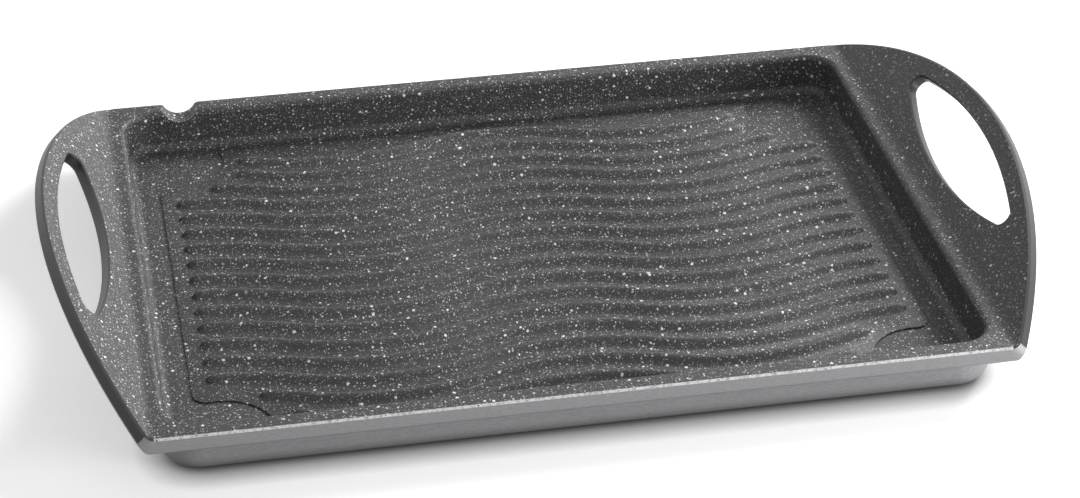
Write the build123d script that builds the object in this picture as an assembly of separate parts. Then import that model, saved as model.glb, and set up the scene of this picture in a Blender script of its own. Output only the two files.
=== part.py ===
from build123d import *
import math
import os

# Two-handled cast grill plate, in millimetres. +Z is up, +X runs from handle to handle,
# and the origin is on the worktop under the middle of the plate.

# Rim and tray
tray_length = 321.0        # inside the tray at the rim, side to side
tray_width = 242.0         # inside the tray at the rim, front to back
rim_top = 23.0             # top of the rim above the worktop
rim_ledge = 9.0            # rim outside the tray along the front and the back
flange_thickness = 6.8     # rim flange, top to underside
rim_edge_chamfer = 0.8     # round the outside of the rim and the wings
tray_corner_radius = 13.0
wall_thickness = 3.2
wall_draft = 3.0           # degrees, the walls lean outwards towards the rim
floor_thickness = 4.4
floor_fillet = 4.0         # inside, wall to floor
mouth_fillet = 2.4         # inside, wall to rim
belly_fillet = 7.0         # outside, wall to underside

# Sole plate pressed into the underside
sole_thickness = 1.2
sole_stands_proud = 0.8
sole_inset = 14.0          # from the body's outer wall to the sole plate's edge
sole_edge_chamfer = 0.4

# Pouring notch in the back rim, towards the left handle
notch_from_end = 25.5      # notch's middle line to the tray's left end
notch_width = 15.5
notch_depth = 5.2
notch_lip_radius = 2.5

# Handles: flat wings that rise from both ends of the rim
handle_angle = 44.8        # degrees above the rim
fold_ledge = 6.9           # rim between the tray's end and the fold where the wing turns up
fold_radius = 6.0          # inside the fold, on top
fold_toe = 1.0             # how far the flange's underside runs on past the fold
fold_heel_radius = 3.0     # outside the fold, below
handle_reach = 42.9        # fold to tip, along the slope
handle_thickness = 5.2
handle_corner_radius = 7.0

# Finger hole through each wing, a lens with rounded ends
hole_start = 8.9           # fold to the hole's inner edge, along the slope
hole_end = 34.3            # fold to the hole's outer edge, along the slope
hole_inner_radius = 192.0
hole_outer_radius = 209.0
hole_end_radius = 4.0
hole_edge_chamfer = 0.6

# Raised field that carries the ribs
gutter_at_ends = 12.3      # tray's end to the field
gutter_at_sides = 8.0      # tray's side to the field
field_step = 0.7           # above the gutter floor round it
field_corner_radius = 6.0
pocket_radius = 20.9       # round fat pockets that bite into the field's corners
pocket_inset = 8.75        # pocket's centre to the field's edges

# Wave ribs: each is a chain of arcs, one for every half wave
rib_pitch = 12.46
rib_width = 8.2            # at the foot
rib_height = 2.2
rib_flank_angle = 39.0     # degrees
rib_root = 0.1             # how far a rib's section reaches down into the field
rib_wave_height = 5.8      # middle line to crest, in plan
rib_wave_length = 142.0
rib_end_taper = 9.0        # length over which an end dips into the field
rib_end_gap = 6.2          # rib end to the field's end or to a pocket
rib_side_gap = 3.0         # least gap from the outermost ribs to the field's long edges

touch = 0.05               # closer than this counts as the same place
rim_width = tray_width + 2 * rim_ledge
fold_x = tray_length / 2 + fold_ledge
body_length = tray_length + 2 * wall_thickness
body_width = tray_width + 2 * wall_thickness
seam_x = body_length / 2   # the rim and the wings meet in this plane
floor_top = sole_stands_proud + floor_thickness
field_top = floor_top + field_step
field_length = tray_length - 2 * gutter_at_ends
field_width = tray_width - 2 * gutter_at_sides
pocket_x = field_length / 2 - pocket_inset
pocket_y = field_width / 2 - pocket_inset
slope = math.radians(handle_angle)
half_wave = rib_wave_length / 2
wave_radius = (half_wave ** 2 / 4 + rib_wave_height ** 2) / (2 * rib_wave_height)
outermost_rib = field_width / 2 - rib_side_gap - rib_width / 2 - rib_wave_height
ribs_each_side = math.floor(outermost_rib / rib_pitch)


def drafted_block(length, width, corner, bottom, top):
    """A rounded block between two heights whose length and width hold at its top."""
    sketch = Plane.XY.offset(top) * RectangleRounded(length, width, corner)
    return extrude(sketch, bottom - top, taper=wall_draft)


def lowest_edges(solid):
    return solid.faces().sort_by(Axis.Z)[0].edges()


def make_tray_body():
    flange_middle = rim_top - flange_thickness / 2
    outer_corner = tray_corner_radius + wall_thickness
    outer = drafted_block(body_length, body_width, outer_corner, sole_stands_proud, flange_middle)
    outer = fillet(lowest_edges(outer), belly_fillet)
    flange = Pos(0, 0, flange_middle) * Box(body_length, rim_width, flange_thickness)
    flange = chamfer(flange.edges().filter_by(Axis.X), rim_edge_chamfer)
    inside = drafted_block(tray_length, tray_width, tray_corner_radius, floor_top, rim_top)
    inside = fillet(lowest_edges(inside), floor_fillet)
    body = outer + flange - inside
    body = fillet(mouth_edges(body), mouth_fillet)
    return body - notch_cutter() - sole_blank()


def mouth_edges(body):
    """The edges where the tray's walls meet the top of the rim."""
    rim = body.faces().filter_by(Plane.XY).sort_by(Axis.Z)[-1]
    return rim.inner_wires()[0].edges()


def notch_cutter():
    """A round channel through the back rim, with rounded lips where it meets the rim's top."""
    radius = notch_width / 2
    above = Pos(0, radius) * Rectangle(4 * radius, 2 * radius)
    section = above + Pos(0, radius - notch_depth) * Circle(radius)
    lips = [v for v in section.vertices() if abs(v.Y) < 0.01 and abs(v.X) < radius]
    section = fillet(lips, notch_lip_radius)
    channel = extrude(Plane.XZ * section, (rim_width - tray_width) / 2, both=True)
    notch_x = notch_from_end - tray_length / 2
    return Pos(notch_x, (rim_width + tray_width) / 4, rim_top) * channel


def sole_blank():
    length = body_length - 2 * sole_inset
    width = body_width - 2 * sole_inset
    return extrude(RectangleRounded(length, width, tray_corner_radius), sole_thickness)


def make_sole_plate():
    plate = sole_blank()
    return chamfer(lowest_edges(plate), sole_edge_chamfer)


def wing_plane():
    """Lies on the wing's top face: x runs up the slope from the fold, y along the rim."""
    return Plane(
        origin=(fold_x, 0, rim_top),
        x_dir=(math.cos(slope), 0, math.sin(slope)),
        z_dir=(-math.sin(slope), 0, math.cos(slope)))


def handle_section():
    """The bent section of rim and wing, seen from the front."""
    reach = handle_reach + handle_thickness
    tip = (fold_x + reach * math.cos(slope), rim_top + reach * math.sin(slope))
    sink = (handle_thickness * math.sin(slope), -handle_thickness * math.cos(slope))
    underside = rim_top - flange_thickness
    section = make_face(Polyline(
        (seam_x, rim_top), (fold_x, rim_top), tip, (tip[0] + sink[0], tip[1] + sink[1]),
        (fold_x + sink[0], rim_top + sink[1]), (fold_x + fold_toe, underside),
        (seam_x, underside), close=True))
    section = fillet(corner_near(section, fold_x, rim_top), fold_radius)
    return fillet(corner_near(section, fold_x + fold_toe, underside), fold_heel_radius)


def corner_near(section, x, y):
    return [v for v in section.vertices() if math.hypot(v.X - x, v.Y - y) < touch]


def wing_outline():
    """The rim's end and the wing, laid out in the wing's plane: one arc over the tip."""
    half = rim_width / 2
    foot = -2 * (flange_thickness + fold_ledge)
    outline = make_face([
        ThreePointArc((0, -half), (handle_reach, 0), (0, half)),
        Polyline((0, half), (foot, half), (foot, -half), (0, -half))])
    corners = corner_near(outline, 0, half) + corner_near(outline, 0, -half)
    return fillet(corners, handle_corner_radius)


def hole_outline():
    """A lens between two arcs, drawn up the slope from the fold."""
    inner = Pos(hole_start + hole_inner_radius, 0) * Circle(hole_inner_radius)
    outer = Pos(hole_end - hole_outer_radius, 0) * Circle(hole_outer_radius)
    lens = inner & outer
    return fillet(lens.vertices(), hole_end_radius)


def make_handle():
    plate = extrude(Plane.XZ * handle_section(), rim_width / 2, both=True)
    depth = 2 * (handle_reach + flange_thickness)
    handle = plate & extrude(wing_plane() * wing_outline(), depth, both=True)
    handle = chamfer(outer_edges(handle), rim_edge_chamfer)
    handle -= extrude(wing_plane() * hole_outline(), 2 * handle_thickness, both=True)
    return chamfer([e for e in handle.edges() if is_hole_edge(e)], hole_edge_chamfer)


def outer_edges(handle):
    """The edges round the outside of the rim's end and the wing, above and below."""
    outline = wing_outline().face().outer_wire()
    found = []
    for edge in handle.edges():
        places = [wing_plane().to_local_coords(edge @ share) for share in (0, 0.5, 1)]
        upright = max(p.Z for p in places) - min(p.Z for p in places) > 0.9 * edge.length
        on_outline = all(outline.distance_to(Vertex(p.X, p.Y, 0)) < touch for p in places)
        on_seam = all(abs((edge @ share).X - seam_x) < touch for share in (0, 1))
        if on_outline and not upright and not on_seam:
            found.append(edge)
    return found


def is_hole_edge(edge):
    """True for the finger hole's edges on the wing's two faces."""
    place = wing_plane().to_local_coords(edge.center())
    on_a_face = min(abs(place.Z), abs(place.Z + handle_thickness)) < touch
    inside = hole_start - touch < place.X < hole_end + touch and abs(place.Y) < rim_width / 3
    return on_a_face and inside


def wave_arc(index):
    """Which way half wave number index bulges, and its arc's centre from the rib's row."""
    side = 1 if index % 2 == 0 else -1
    return side, Vector(index * half_wave, side * (rib_wave_height - wave_radius))


def turn_at(x, index):
    """Degrees round its arc, from the crest, where half wave number index reaches x."""
    return math.degrees(math.asin((x - index * half_wave) / wave_radius))


def rib_wave(x):
    """Sideways offset of every rib at a place along the plate."""
    index = round(x / half_wave)
    side, centre = wave_arc(index)
    return centre.Y + side * wave_radius * math.cos(math.radians(turn_at(x, index)))


def rib_end(row_y):
    """Where a rib stops, short of the field's end or of a pocket."""
    reach = field_length / 2 - rib_end_gap
    clear = pocket_radius + rib_end_gap
    for _ in range(8):
        beside = pocket_y - abs(row_y + rib_wave(reach))
        if abs(beside) < clear:
            reach = min(reach, pocket_x - math.sqrt(clear ** 2 - beside ** 2))
    return reach


def rib_section():
    """A rib's section: two sloping flanks, a flat crown and a root that stands in the field."""
    height = rib_height + rib_root
    width = rib_width + 2 * rib_root / math.tan(math.radians(rib_flank_angle))
    return Pos(0, field_top - rib_root + height / 2) * Trapezoid(width, height, rib_flank_angle)


def section_at(x, index, row_y):
    """The rib's section standing square to its line at x."""
    side, centre = wave_arc(index)
    turn = math.radians(turn_at(x, index))
    outwards = Vector(math.sin(turn), side * math.cos(turn))
    middle = centre + Vector(0, row_y) + outwards * wave_radius
    along = Vector(math.cos(turn), -side * math.sin(turn))
    plane = Plane(origin=middle, x_dir=Vector(-along.Y, along.X), z_dir=along)
    return plane * rib_section(), along


def rib_span(low, high, index, row_y):
    """One arc of a rib, turned about the arc's centre from low to high."""
    side, centre = wave_arc(index)
    section, _ = section_at(low, index, row_y)
    axis = Axis((centre.X, centre.Y + row_y, 0), (0, 0, -side))
    return revolve(section, axis, turn_at(high, index) - turn_at(low, index))


def rib_tip(x, row_y):
    """The last stretch of a rib, which dips below the field and so runs out to a point."""
    section, along = section_at(x, round(x / half_wave), row_y)
    outwards = along if x > 0 else -along
    dip = outwards * rib_end_taper - Vector(0, 0, rib_height + rib_root)
    tip = extrude(section, dip.length, dir=dip)
    return split(tip, Plane.XY.offset(field_top - rib_root), Keep.TOP)


def make_rib(row_y):
    full = rib_end(row_y) - rib_end_taper
    pieces = [rib_tip(-full, row_y), rib_tip(full, row_y)]
    furthest = round(full / half_wave)
    for index in range(-furthest, furthest + 1):
        low = max(-full, (index - 0.5) * half_wave)
        high = min(full, (index + 0.5) * half_wave)
        pieces.append(rib_span(low, high, index, row_y))
    return pieces


def make_ribbed_field():
    outline = Rectangle(field_length, field_width)
    for side_x in (-1, 1):
        for side_y in (-1, 1):
            outline -= Pos(side_x * pocket_x, side_y * pocket_y) * Circle(pocket_radius)
    ends = outline.vertices().group_by(Axis.X)
    outline = fillet(ends[0] + ends[-1], field_corner_radius)
    field = Pos(0, 0, floor_top) * extrude(outline, field_step)
    ribs = []
    for row in range(-ribs_each_side, ribs_each_side + 1):
        ribs += make_rib(row * rib_pitch)
    return field.fuse(*ribs)


tray_body = make_tray_body()
ribbed_field = make_ribbed_field()
handle_right = make_handle()
handle_left = Rot(0, 0, 180) * handle_right
sole_plate = make_sole_plate()

os.makedirs("parts", exist_ok=True)
for name, solid in {
    "tray_body": tray_body,
    "ribbed_field": ribbed_field,
    "handle_left": handle_left,
    "handle_right": handle_right,
    "sole_plate": sole_plate,
}.items():
    export_step(solid, f"parts/{name}.step")
    print(name, round(solid.volume), "mm3")
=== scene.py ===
import math

import bpy
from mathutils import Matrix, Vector


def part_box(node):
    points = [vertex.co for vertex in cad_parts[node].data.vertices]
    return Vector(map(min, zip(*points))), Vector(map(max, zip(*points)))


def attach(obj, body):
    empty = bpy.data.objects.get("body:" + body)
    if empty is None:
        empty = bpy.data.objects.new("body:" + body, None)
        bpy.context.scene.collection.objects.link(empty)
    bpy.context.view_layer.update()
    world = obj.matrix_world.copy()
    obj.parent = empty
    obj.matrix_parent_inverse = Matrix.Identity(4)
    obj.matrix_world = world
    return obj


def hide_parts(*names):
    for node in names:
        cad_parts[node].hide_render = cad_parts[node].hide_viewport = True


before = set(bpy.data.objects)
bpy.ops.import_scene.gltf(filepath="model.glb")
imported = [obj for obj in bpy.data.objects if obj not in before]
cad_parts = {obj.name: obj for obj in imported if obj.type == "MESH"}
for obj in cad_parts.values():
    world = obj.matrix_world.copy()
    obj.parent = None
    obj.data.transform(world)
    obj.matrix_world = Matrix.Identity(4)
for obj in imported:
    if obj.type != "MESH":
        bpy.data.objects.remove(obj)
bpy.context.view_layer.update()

mm = 0.001
bpy.context.scene.view_settings.view_transform = "Standard"


# Camera, where the photograph was taken from
camera = {
    "place": (-0.18955, -1.01984, 0.63957),   # metres, in the plate's own frame
    "turn": (58.70, 0.03, -10.756),           # degrees
    "lens": 97.02,                            # mm
    "sensor": 36.0,                           # mm
}


def addCamera():
    data = bpy.data.cameras.new("camera")
    data.lens = camera["lens"]
    data.sensor_width = camera["sensor"]
    view = bpy.data.objects.new("camera", data)
    view.location = camera["place"]
    view.rotation_euler = [math.radians(angle) for angle in camera["turn"]]
    bpy.context.scene.collection.objects.link(view)
    bpy.context.scene.camera = view


addCamera()
print("camera set")


def linear(hexColour):
    # sRGB hex to the linear values that the shaders take
    values = []
    for start in (0, 2, 4):
        level = int(hexColour[start:start + 2], 16) / 255
        values.append(level / 12.92 if level <= 0.04045 else ((level + 0.055) / 1.055) ** 2.4)
    return (*values, 1.0)


def addNode(tree, kind, inputs=None, **settings):
    # an input is a plain value, the socket that feeds it, or a node whose first output does
    node = tree.nodes.new("ShaderNode" + kind)
    for name, value in settings.items():
        setattr(node, name, value)
    for key, value in (inputs or {}).items():
        if isinstance(value, bpy.types.Node):
            value = value.outputs[0]
        if isinstance(value, bpy.types.NodeSocket):
            tree.links.new(value, node.inputs[key])
        else:
            node.inputs[key].default_value = value
    return node


def startMaterial(name):
    material = bpy.data.materials.new(name)
    material.use_nodes = True
    material.node_tree.nodes.clear()
    return material, material.node_tree


def seenDirectly(tree):
    # 1 for what the camera sees itself, in a reflection or through glass
    path = addNode(tree, "LightPath")
    seen = addNode(tree, "Math", {0: path.outputs["Is Camera Ray"],
                                  1: path.outputs["Is Glossy Ray"]}, operation="MAXIMUM")
    return addNode(tree, "Math", {0: seen, 1: path.outputs["Is Transmission Ray"]},
                   operation="MAXIMUM")


# Lights: a soft panel at the back right, a weaker one in front, and a sky that is darker on
# the left. Places and sizes are in metres.
studio = {
    "panels": {
        "keyPanel": {"place": (1.5, 1.0, 1.2), "aim": (0, 0, 0), "size": (0.8, 0.7),
                     "watts": 47},
        "frontPanel": {"place": (0.72, -0.62, 0.22), "aim": (0.2, -0.13, 0),
                       "size": (0.4, 0.3), "watts": 5.6},
    },
    "sky": {"colour": "ffffff", "left": 0.2, "right": 0.5, "shown": 1.0},
}


def addPanel(name, settings):
    data = bpy.data.lights.new(name, "AREA")
    data.shape = "RECTANGLE"
    data.size, data.size_y = settings["size"]
    data.energy = settings["watts"]
    lamp = bpy.data.objects.new(name, data)
    lamp.location = settings["place"]
    aim = Vector(settings["aim"]) - Vector(settings["place"])
    lamp.rotation_euler = aim.to_track_quat("-Z", "Y").to_euler()
    bpy.context.scene.collection.objects.link(lamp)


def addSky(settings):
    world = bpy.data.worlds.new("studio")
    world.use_nodes = True
    bpy.context.scene.world = world
    tree = world.node_tree
    tree.nodes.clear()
    towards = addNode(tree, "TexCoord")
    sides = addNode(tree, "SeparateXYZ", {0: towards.outputs["Generated"]})
    level = addNode(tree, "MapRange", {"Value": sides.outputs["X"], "From Min": -1.0,
                                       "To Min": settings["left"], "To Max": settings["right"]})
    lighting = addNode(tree, "Background", {"Color": linear(settings["colour"]),
                                            "Strength": level})
    shown = addNode(tree, "Background", {"Color": linear(settings["colour"]),
                                         "Strength": settings["shown"]})
    mix = addNode(tree, "MixShader", {0: seenDirectly(tree), 1: lighting, 2: shown})
    addNode(tree, "OutputWorld", {"Surface": mix})


for name, settings in studio["panels"].items():
    addPanel(name, settings)
addSky(studio["sky"])
print("lights set")


# Floor: a white card that keeps the plate's shadow. It is lifted to full white where the
# camera sees it lit, and it throws less light back than it shows.
floorCard = {
    "size": 6.0,                     # metres, as all lengths of the floor
    "shown": "f0f0f0", "lit": "606060",
    "lift": 0.5, "near": 0.35,       # glow round the plate, up to this far from it
    "farLift": 1.0, "far": 0.9,      # glow from here on
    "contact": 0.012, "depth": 1.3,  # reach and depth of the shadow right under the plate
}


def deselectAll():
    bpy.ops.object.select_all(action="DESELECT")


def makeWhiteCard():
    material, tree = startMaterial("whiteCard")
    # the shadow deepens where the plate nearly touches the card
    near = addNode(tree, "AmbientOcclusion", {"Distance": floorCard["contact"]})
    unshaded = addNode(tree, "Math", {0: near.outputs["AO"], 1: floorCard["depth"]},
                       operation="POWER")
    shade = addNode(tree, "VectorMath",
                    {0: linear(floorCard["shown"])[:3], "Scale": unshaded}, operation="SCALE")
    card = addNode(tree, "BsdfDiffuse", {"Color": shade})
    place = addNode(tree, "TexCoord")
    away = addNode(tree, "VectorMath", {0: place.outputs["Object"]}, operation="LENGTH")
    lift = addNode(tree, "MapRange", {"Value": away.outputs["Value"],
                                      "From Min": floorCard["near"], "From Max": floorCard["far"],
                                      "To Min": floorCard["lift"],
                                      "To Max": floorCard["farLift"]})
    strength = addNode(tree, "Math", {0: lift, 1: unshaded}, operation="MULTIPLY")
    glow = addNode(tree, "Emission", {"Strength": strength})
    shown = addNode(tree, "AddShader", {0: card, 1: glow})
    dim = addNode(tree, "BsdfDiffuse", {"Color": linear(floorCard["lit"])})
    mix = addNode(tree, "MixShader", {0: seenDirectly(tree), 1: dim, 2: shown})
    addNode(tree, "OutputMaterial", {"Surface": mix})
    return material


def addFloor():
    deselectAll()
    bpy.ops.mesh.primitive_plane_add(size=floorCard["size"])
    floor = bpy.context.object
    floor.name = "floor"
    floor.data.materials.append(makeWhiteCard())


addFloor()
print("floor set")


# Speckled non-stick coating: dark grey PTFE paint, sprayed and baked, with grey and white
# flecks in it. To the eye it is satin, faintly pebbled and never one even grey.
# Lengths are in mm.
coating = {
    "ground": "313132",
    "groundLight": "3f3f40",
    "cloudSize": 9.0,
    "roughness": 0.56,
    "pebble": 1.1,             # the spray's orange peel
    "pebbleDepth": 0.035,
    # the finest real flecks are 0.1 mm; they are drawn 0.3 mm wide or more so that they show.
    # A cell holds one spot, and share is the part of the cells that have theirs.
    "pits": {"cell": 0.9, "radius": 0.4, "share": 0.8, "colour": "141415", "shift": (9, 4, 17)},
    "flecks": [
        {"cell": 0.8, "radius": 0.34, "share": 0.8, "colour": "9a9a9b", "shift": (3, 7, 1)},
        {"cell": 1.4, "radius": 0.44, "share": 0.65, "colour": "dadada", "shift": (11, 2, 5)},
        {"cell": 3.3, "radius": 0.76, "share": 0.5, "colour": "ffffff", "shift": (5, 13, 8)},
    ],
    "smallest": 0.4,           # share of the radius that the smallest spots have
    "core": 0.7,               # share of a spot's radius that is full colour
    "ragged": 1.1,             # how far a spot's outline may wander
    "raggedSize": 0.8333,
}
# Heat-proof lacquer outside: silver-grey, smooth, with a faint grain along the rim
lacquer = {
    "colour": "98989a",
    "paintedHighlight": "dededf",        # painted highlight on the rim's bevel
    "paintedShade": "2e2e2f",          # painted shade round the wings' edges and in the finger holes
    "grain": (2.2, 0.5, 0.5),  # mm, drawn out along the rim; the real grain is finer
    "tone": (0.86, 1.14),      # how much darker and lighter the grain makes it
    "toneFrom": (0.25, 0.75),  # noise levels at which it is darkest and lightest
    "metallic": 0.3,
    "roughness": 0.45,
    "peel": 0.15,              # its orange peel against the coating's
}
# Where each paint lies on the casting. Lengths are in mm, and the others say how squarely a
# face looks out of the top: 1 fully, 0 sideways, -1 from below.
paintBorders = {
    "foldStart": 164.9, "foldEnd": 169.2, "wingAngle": 44.8,        # degrees
    # a box round the tray's inside, and a point above it that the inside faces look towards
    "insideX": 163.5, "insideY": 124.0, "insideZ": 4.9, "lookout": (0, 0, 200),
    # the pouring notch, whose channel is coated too
    "notchX": -135.0, "notchReach": 12.0, "notchFrom": 118.0,
    "channelAcross": 0.5, "channelUp": -0.05,
    # the coating's border on the rounded edges, and how far it wanders
    "edge": 0.80, "edgeWander": 0.10, "wanderSize": 1.3, "wanderFrom": (0.3, 0.7),
    # painted shade on the wings' edges, apart from the ends of the rim's front and back faces
    "wingFrom": 165.5, "holeReach": 80.0, "frontFacing": 0.72, "underside": -0.6,
    # the painted highlight on the rim's bevel, from none of it to all of it, and how the spray
    # breaks it up
    "bevel": (0.45, 0.6), "broken": (0.28, 0.55),
}


def millimetres(tree):
    # the place on the piece, in mm
    place = addNode(tree, "TexCoord")
    return addNode(tree, "VectorMath", {0: place.outputs["Object"], "Scale": 1 / mm},
                   operation="SCALE")


def fleckMask(tree, place, settings):
    # round spots of random size, at most one in a cell
    moved = addNode(tree, "VectorMath", {0: place, 1: settings["shift"]}, operation="ADD")
    cells = addNode(tree, "TexVoronoi", {"Vector": moved, "Scale": 1 / settings["cell"]})
    chance = addNode(tree, "SeparateColor", {0: cells.outputs["Color"]})
    size = settings["radius"] / settings["cell"]
    empty = 1 - settings["share"]
    sprayed = addNode(tree, "Math", {0: chance, 1: empty}, operation="GREATER_THAN")
    radius = addNode(tree, "MapRange", {"Value": chance, "From Min": empty,
                                        "To Min": coating["smallest"] * size, "To Max": size})
    core = addNode(tree, "Math", {0: radius, 1: coating["core"]}, operation="MULTIPLY")
    spot = addNode(tree, "MapRange", {"Value": cells.outputs["Distance"], "From Min": core,
                                      "From Max": radius, "To Min": 1.0, "To Max": 0.0})
    return addNode(tree, "Math", {0: spot, 1: sprayed}, operation="MULTIPLY")


def coatingColour(tree, place):
    # the clouded ground, then pits, then flecks from fine to coarse. A Mix node takes its
    # colours at inputs 6 and 7 and gives the mixed one at output 2.
    clouds = addNode(tree, "TexNoise", {"Vector": place, "Scale": 1 / coating["cloudSize"]})
    colour = addNode(tree, "Mix", {0: clouds, 6: linear(coating["ground"]),
                                   7: linear(coating["groundLight"])},
                     data_type="RGBA").outputs[2]
    drift = addNode(tree, "TexNoise", {"Vector": place, "Scale": 1 / coating["raggedSize"]})
    centred = addNode(tree, "VectorMath", {0: drift.outputs["Color"], 1: (0.5, 0.5, 0.5)},
                      operation="SUBTRACT")
    wander = addNode(tree, "VectorMath", {0: centred, "Scale": coating["ragged"]},
                     operation="SCALE")
    ragged = addNode(tree, "VectorMath", {0: place, 1: wander}, operation="ADD")
    for spots in [coating["pits"], *coating["flecks"]]:
        mask = fleckMask(tree, ragged, spots)
        colour = addNode(tree, "Mix", {0: mask, 6: colour, 7: linear(spots["colour"])},
                         data_type="RGBA").outputs[2]
    return colour


def pebbledNormal(tree, place, strength):
    peel = addNode(tree, "TexNoise", {"Vector": place, "Scale": 1 / coating["pebble"],
                                      "Detail": 3.0})
    return addNode(tree, "Bump", {"Height": peel, "Distance": coating["pebbleDepth"] * mm,
                                  "Strength": strength})


def whereAll(tree, tests):
    # 1 where every comparison holds
    held = 1.0
    for value, comparison, limit in tests:
        test = addNode(tree, "Math", {0: value, 1: limit}, operation=comparison)
        held = addNode(tree, "Math", {0: held, 1: test}, operation="MULTIPLY")
    return held


def paintMasks(tree, place):
    # where the coating, the wings' painted shade and the rim's painted highlight lie, from place
    # and facing
    borders = paintBorders
    normal = addNode(tree, "NewGeometry").outputs["Normal"]
    # place and facing by axis, and both again without their signs
    side = addNode(tree, "SeparateXYZ", {0: place})
    face = addNode(tree, "SeparateXYZ", {0: normal})
    unsignedPlace = addNode(tree, "VectorMath", {0: place}, operation="ABSOLUTE")
    away = addNode(tree, "SeparateXYZ", {0: unsignedPlace})
    unsignedNormal = addNode(tree, "VectorMath", {0: normal}, operation="ABSOLUTE")
    slant = addNode(tree, "SeparateXYZ", {0: unsignedNormal})

    # the top's own direction leans inwards on the wings
    fold = addNode(tree, "MapRange", {"Value": away.outputs["X"],
                                      "From Min": borders["foldStart"],
                                      "From Max": borders["foldEnd"],
                                      "To Max": -math.radians(borders["wingAngle"])})
    end = addNode(tree, "Math", {0: side.outputs["X"]}, operation="SIGN")
    sine = addNode(tree, "Math", {0: fold}, operation="SINE")
    cosine = addNode(tree, "Math", {0: fold}, operation="COSINE")
    lean = addNode(tree, "Math", {0: sine, 1: end}, operation="MULTIPLY")
    top = addNode(tree, "CombineXYZ", {"X": lean, "Z": cosine})
    facing = addNode(tree, "VectorMath", {0: normal, 1: top},
                     operation="DOT_PRODUCT").outputs["Value"]

    drift = addNode(tree, "TexNoise", {"Vector": place, "Scale": 1 / borders["wanderSize"],
                                       "Detail": 4.0})
    wander = addNode(tree, "MapRange", {"Value": drift, "From Min": borders["wanderFrom"][0],
                                        "From Max": borders["wanderFrom"][1],
                                        "To Min": -borders["edgeWander"],
                                        "To Max": borders["edgeWander"]})
    level = addNode(tree, "Math", {0: facing, 1: wander}, operation="ADD")
    onTop = whereAll(tree, [(level, "GREATER_THAN", borders["edge"])])

    upwards = addNode(tree, "VectorMath", {0: borders["lookout"], 1: place},
                      operation="SUBTRACT")
    inwards = addNode(tree, "VectorMath", {0: normal, 1: upwards},
                      operation="DOT_PRODUCT").outputs["Value"]
    inTray = whereAll(tree, [(away.outputs["X"], "LESS_THAN", borders["insideX"]),
                             (away.outputs["Y"], "LESS_THAN", borders["insideY"]),
                             (side.outputs["Z"], "GREATER_THAN", borders["insideZ"]),
                             (inwards, "GREATER_THAN", 0.0)])

    fromNotch = addNode(tree, "Math", {0: side.outputs["X"], 1: borders["notchX"]},
                        operation="SUBTRACT")
    besideNotch = addNode(tree, "Math", {0: fromNotch}, operation="ABSOLUTE")
    inNotch = whereAll(tree, [(besideNotch, "LESS_THAN", borders["notchReach"]),
                              (side.outputs["Y"], "GREATER_THAN", borders["notchFrom"]),
                              (slant.outputs["Y"], "LESS_THAN", borders["channelAcross"]),
                              (face.outputs["Z"], "GREATER_THAN", borders["channelUp"])])
    coated = addNode(tree, "Math", {0: onTop, 1: inTray}, operation="MAXIMUM")
    coated = addNode(tree, "Math", {0: coated, 1: inNotch}, operation="MAXIMUM")

    # painted shade: the edge faces of the wings and the finger holes are drawn dark
    rimFace = whereAll(tree, [(slant.outputs["Y"], "GREATER_THAN", borders["frontFacing"]),
                              (away.outputs["Y"], "GREATER_THAN", borders["holeReach"])])
    paintedShade = whereAll(tree, [(away.outputs["X"], "GREATER_THAN", borders["wingFrom"]),
                           (facing, "GREATER_THAN", borders["underside"]),
                           (rimFace, "LESS_THAN", 0.5)])

    # painted highlight: the rim's bevel is drawn lighter where it faces halfway up, broken up by
    # the spray
    bevel = addNode(tree, "MapRange", {"Value": facing, "From Min": borders["bevel"][0],
                                       "From Max": borders["bevel"][1]})
    broken = addNode(tree, "MapRange", {"Value": drift, "From Min": borders["broken"][0],
                                        "From Max": borders["broken"][1]})
    onRim = whereAll(tree, [(away.outputs["X"], "LESS_THAN", borders["wingFrom"])])
    bevelHighlight = addNode(tree, "Math", {0: bevel, 1: broken}, operation="MULTIPLY")
    bevelHighlight = addNode(tree, "Math", {0: bevelHighlight, 1: onRim}, operation="MULTIPLY")
    return coated, paintedShade, bevelHighlight


def makeCoating():
    material, tree = startMaterial("speckledNonstickCoating")
    place = millimetres(tree)
    shader = addNode(tree, "BsdfPrincipled", {"Base Color": coatingColour(tree, place),
                                              "Roughness": coating["roughness"],
                                              "Normal": pebbledNormal(tree, place, 1.0)})
    addNode(tree, "OutputMaterial", {"Surface": shader})
    return material


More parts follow.
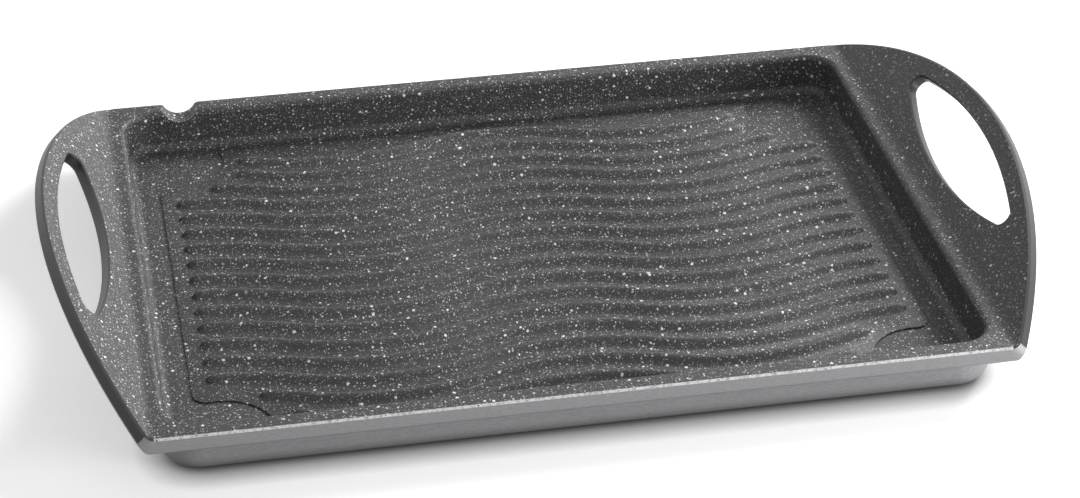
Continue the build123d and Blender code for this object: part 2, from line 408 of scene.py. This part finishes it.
def makeCoatedCasting():
    material, tree = startMaterial("speckledNonstickOverSilverLacquer")
    place = millimetres(tree)
    coated, paintedShade, bevelHighlight = paintMasks(tree, place)
    drawn = addNode(tree, "VectorMath", {0: place, 1: [1 / size for size in lacquer["grain"]]},
                    operation="MULTIPLY")
    grain = addNode(tree, "TexNoise", {"Vector": drawn, "Scale": 1.0, "Detail": 3.0})
    tone = addNode(tree, "MapRange", {"Value": grain, "From Min": lacquer["toneFrom"][0],
                                      "From Max": lacquer["toneFrom"][1],
                                      "To Min": lacquer["tone"][0],
                                      "To Max": lacquer["tone"][1]})
    # the silver lacquer takes its painted shade, then its painted highlight
    paint = addNode(tree, "Mix", {0: paintedShade, 6: linear(lacquer["colour"]),
                                  7: linear(lacquer["paintedShade"])}, data_type="RGBA").outputs[2]
    paint = addNode(tree, "Mix", {0: bevelHighlight, 6: paint, 7: linear(lacquer["paintedHighlight"])},
                    data_type="RGBA").outputs[2]
    lacquerWithPaintedLight = addNode(tree, "VectorMath", {0: paint, "Scale": tone}, operation="SCALE")
    colour = addNode(tree, "Mix", {0: coated, 6: lacquerWithPaintedLight, 7: coatingColour(tree, place)},
                     data_type="RGBA").outputs[2]
    painted = addNode(tree, "Math", {0: coated, 1: paintedShade}, operation="MAXIMUM")
    metallic = addNode(tree, "MapRange", {"Value": painted, "To Min": lacquer["metallic"],
                                          "To Max": 0.0})
    roughness = addNode(tree, "MapRange", {"Value": coated, "To Min": lacquer["roughness"],
                                           "To Max": coating["roughness"]})
    peel = addNode(tree, "MapRange", {"Value": coated, "To Min": lacquer["peel"],
                                      "To Max": 1.0})
    shader = addNode(tree, "BsdfPrincipled", {"Base Color": colour, "Metallic": metallic,
                                              "Roughness": roughness,
                                              "Normal": pebbledNormal(tree, place, peel)})
    addNode(tree, "OutputMaterial", {"Surface": shader})
    return material


# Sole: ferritic stainless sheet, ground along the plate, so that it shows fine long lines
soleSteel = {
    "colour": "b4b4b2",
    "roughness": (0.28, 0.40),   # between the lines and on them
    "line": 0.35, "lineLength": 40.0,   # mm; real grinding lines are about 0.05 mm apart
    "tone": (0.8, 1.1),
}


def makeSoleSteel():
    material, tree = startMaterial("groundFerriticSteel")
    stretch = (1 / soleSteel["lineLength"], 1 / soleSteel["line"], 1.0)
    drawn = addNode(tree, "VectorMath", {0: millimetres(tree), 1: stretch},
                    operation="MULTIPLY")
    lines = addNode(tree, "TexNoise", {"Vector": drawn, "Scale": 1.0, "Detail": 3.0})
    tone = addNode(tree, "MapRange", {"Value": lines, "To Min": soleSteel["tone"][0],
                                      "To Max": soleSteel["tone"][1]})
    steel = addNode(tree, "VectorMath", {0: linear(soleSteel["colour"])[:3], "Scale": tone},
                    operation="SCALE")
    roughness = addNode(tree, "MapRange", {"Value": lines,
                                           "To Min": soleSteel["roughness"][0],
                                           "To Max": soleSteel["roughness"][1]})
    shader = addNode(tree, "BsdfPrincipled", {"Base Color": steel, "Metallic": 1.0,
                                              "Roughness": roughness})
    addNode(tree, "OutputMaterial", {"Surface": shader})
    return material


def finishNode(name, material):
    # a CAD node keeps its shape and takes the real finish
    for slot in bpy.data.objects[name].material_slots:
        slot.material = material


coatedCasting = makeCoatedCasting()
for name in ("tray_body", "handle_left", "handle_right"):
    finishNode(name, coatedCasting)
finishNode("sole_plate", makeSoleSteel())
print("casting and sole finished")


# Ribbed field: the CAD node's stepped plate, with rounded ribs on it. Lengths are in mm.
ribs = {
    "step": 0.7, "stepRound": 0.25,       # the field above the gutter round it
    "pitch": 12.46, "eachSide": 8,        # rows on either side of the middle one
    "width": 9.2, "height": 2.9,
    "skirt": 0.8, "sink": 0.03, "root": 0.3,   # past its feet a rib runs on under the field
    "flats": 10,                          # across a rib
    "spacing": 3.0,                       # between the points along a rib
    "waveHeight": 5.8, "waveLength": 142.0,
    "nose": 5.0, "noseRound": 0.45,       # length and fullness of a rib's rounded end
    "noseStops": (0.0, 0.015, 0.05, 0.12, 0.22, 0.36, 0.54, 0.76, 1.0),   # points on it
    "tip": 0.02,                          # the end's size against the rib's
    "pocketRadius": 20.9, "pocketInset": 8.75,
    "endGap": 6.2,                        # rib to the field's end or to a pocket
    "touch": 0.01,                        # closer than this counts as the same place
    "level": 0.5, "smooth": 40.0,         # degrees between faces that merge, or shade as one
}
fieldLow, fieldHigh = [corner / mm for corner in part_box("ribbed_field")]
fieldTop = fieldLow.z + ribs["step"]


def waveAt(x):
    # sideways place of every rib: arcs that turn over at each half wave
    half = ribs["waveLength"] / 2
    radius = (half ** 2 / 4 + ribs["waveHeight"] ** 2) / (2 * ribs["waveHeight"])
    index = round(x / half)
    crest = 1 if index % 2 == 0 else -1
    away = x - index * half
    return crest * (ribs["waveHeight"] - radius + math.sqrt(radius ** 2 - away ** 2))


def ribReach(rowY):
    # half a rib's length: short of the field's end, and of the pocket beside it
    reach = fieldHigh.x - ribs["endGap"]
    pocketX = fieldHigh.x - ribs["pocketInset"]
    pocketY = fieldHigh.y - ribs["pocketInset"]
    clear = ribs["pocketRadius"] + ribs["endGap"]
    # the wave moves the end sideways, so the reach settles in a few rounds
    for attempt in range(8):
        beside = pocketY - abs(rowY + waveAt(reach))
        if abs(beside) < clear:
            reach = min(reach, pocketX - math.sqrt(clear ** 2 - beside ** 2))
    return reach


def makeSection():
    # a rib's section: a smooth swell that is level with the field at both feet
    curve = bpy.data.curves.new("ribSection", "CURVE")
    across = [flat / ribs["flats"] - 0.5 for flat in range(ribs["flats"] + 1)]
    points = [(u * ribs["width"] * mm,
               ribs["height"] * math.cos(math.pi * u) ** 2 * mm) for u in across]
    edge = (0.5 * ribs["width"] + ribs["skirt"]) * mm
    points += [(edge, -ribs["sink"] * mm), (edge, -ribs["root"] * mm),
               (-edge, -ribs["root"] * mm), (-edge, -ribs["sink"] * mm)]
    line = curve.splines.new("POLY")
    line.points.add(len(points) - 1)
    for point, (x, y) in zip(line.points, points):
        point.co = (x, y, 0, 1)
    line.use_cyclic_u = True
    section = bpy.data.objects.new("ribSection", curve)
    bpy.context.scene.collection.objects.link(section)
    return section


def ribLine(rowY):
    # places along one rib, with the section's size at each: both ends swell from a point
    reach = ribReach(rowY)
    nose = ribs["nose"]
    straight = 2 * (reach - nose)
    count = int(straight / ribs["spacing"])
    places = [-reach + nose * stop for stop in ribs["noseStops"]]
    places += [-reach + nose + straight * index / count for index in range(1, count)]
    places += [reach - nose * stop for stop in reversed(ribs["noseStops"])]
    line = []
    for x in places:
        share = min(1.0, (reach - abs(x)) / nose)
        size = math.sin(share * math.pi / 2) ** ribs["noseRound"]
        line.append((x, rowY + waveAt(x), max(ribs["tip"], size)))
    return line


def makeRib(number, rowY, section):
    curve = bpy.data.curves.new(f"rib{number}", "CURVE")
    curve.dimensions = "3D"
    curve.twist_mode = "Z_UP"
    curve.bevel_mode = "OBJECT"
    curve.bevel_object = section
    curve.use_fill_caps = True
    places = ribLine(rowY)
    line = curve.splines.new("POLY")
    line.points.add(len(places) - 1)
    for point, (x, y, size) in zip(line.points, places):
        point.co = (x * mm, y * mm, fieldTop * mm, 1)
        point.radius = size
    rib = bpy.data.objects.new(f"rib{number}", curve)
    bpy.context.scene.collection.objects.link(rib)
    return rib


def makeFieldPlate():
    # the CAD node's own outline, taken from its underside and raised to the step's height
    plate = bpy.data.objects["ribbed_field"].copy()
    plate.data = plate.data.copy()
    plate.name = "ribbedTop"
    bpy.context.scene.collection.objects.link(plate)
    deselectAll()
    plate.select_set(True)
    bpy.context.view_layer.objects.active = plate
    bpy.ops.object.mode_set(mode="EDIT")
    bpy.ops.mesh.select_all(action="SELECT")
    bpy.ops.mesh.remove_doubles(threshold=ribs["touch"] * mm)
    bpy.ops.mesh.select_mode(type="FACE")
    bpy.ops.mesh.select_all(action="DESELECT")
    bpy.ops.object.mode_set(mode="OBJECT")
    for face in plate.data.polygons:
        face.select = face.center.z > (fieldLow.z + ribs["touch"]) * mm
    bpy.ops.object.mode_set(mode="EDIT")
    bpy.ops.mesh.delete(type="FACE")
    bpy.ops.mesh.select_all(action="SELECT")
    bpy.ops.mesh.dissolve_limited(angle_limit=math.radians(ribs["level"]))
    bpy.ops.mesh.select_all(action="SELECT")
    bpy.ops.mesh.extrude_region_move(
        TRANSFORM_OT_translate={"value": (0, 0, ribs["step"] * mm)})
    bpy.ops.mesh.region_to_loop()
    bpy.ops.mesh.bevel(offset=ribs["stepRound"] * mm, segments=2, affect="EDGES")
    bpy.ops.object.mode_set(mode="OBJECT")
    return plate


def joinRibs(plate, rows):
    deselectAll()
    for rib in rows:
        rib.select_set(True)
    bpy.context.view_layer.objects.active = rows[0]
    bpy.ops.object.convert(target="MESH")
    plate.select_set(True)
    bpy.context.view_layer.objects.active = plate
    bpy.ops.object.join()
    bpy.ops.object.mode_set(mode="EDIT")
    bpy.ops.mesh.select_all(action="SELECT")
    bpy.ops.mesh.remove_doubles(threshold=ribs["touch"] * mm)
    bpy.ops.mesh.normals_make_consistent(inside=False)
    bpy.ops.object.mode_set(mode="OBJECT")
    bpy.ops.object.shade_smooth_by_angle(angle=math.radians(ribs["smooth"]))


ribSection = makeSection()
ribRows = [makeRib(row + ribs["eachSide"], row * ribs["pitch"], ribSection)
           for row in range(-ribs["eachSide"], ribs["eachSide"] + 1)]
fieldPlate = makeFieldPlate()
joinRibs(fieldPlate, ribRows)
bpy.data.objects.remove(ribSection)
fieldPlate.data.materials.clear()
fieldPlate.data.materials.append(makeCoating())
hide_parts("ribbed_field")
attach(fieldPlate, "root")
print("ribbed top,", len(fieldPlate.data.polygons), "faces")
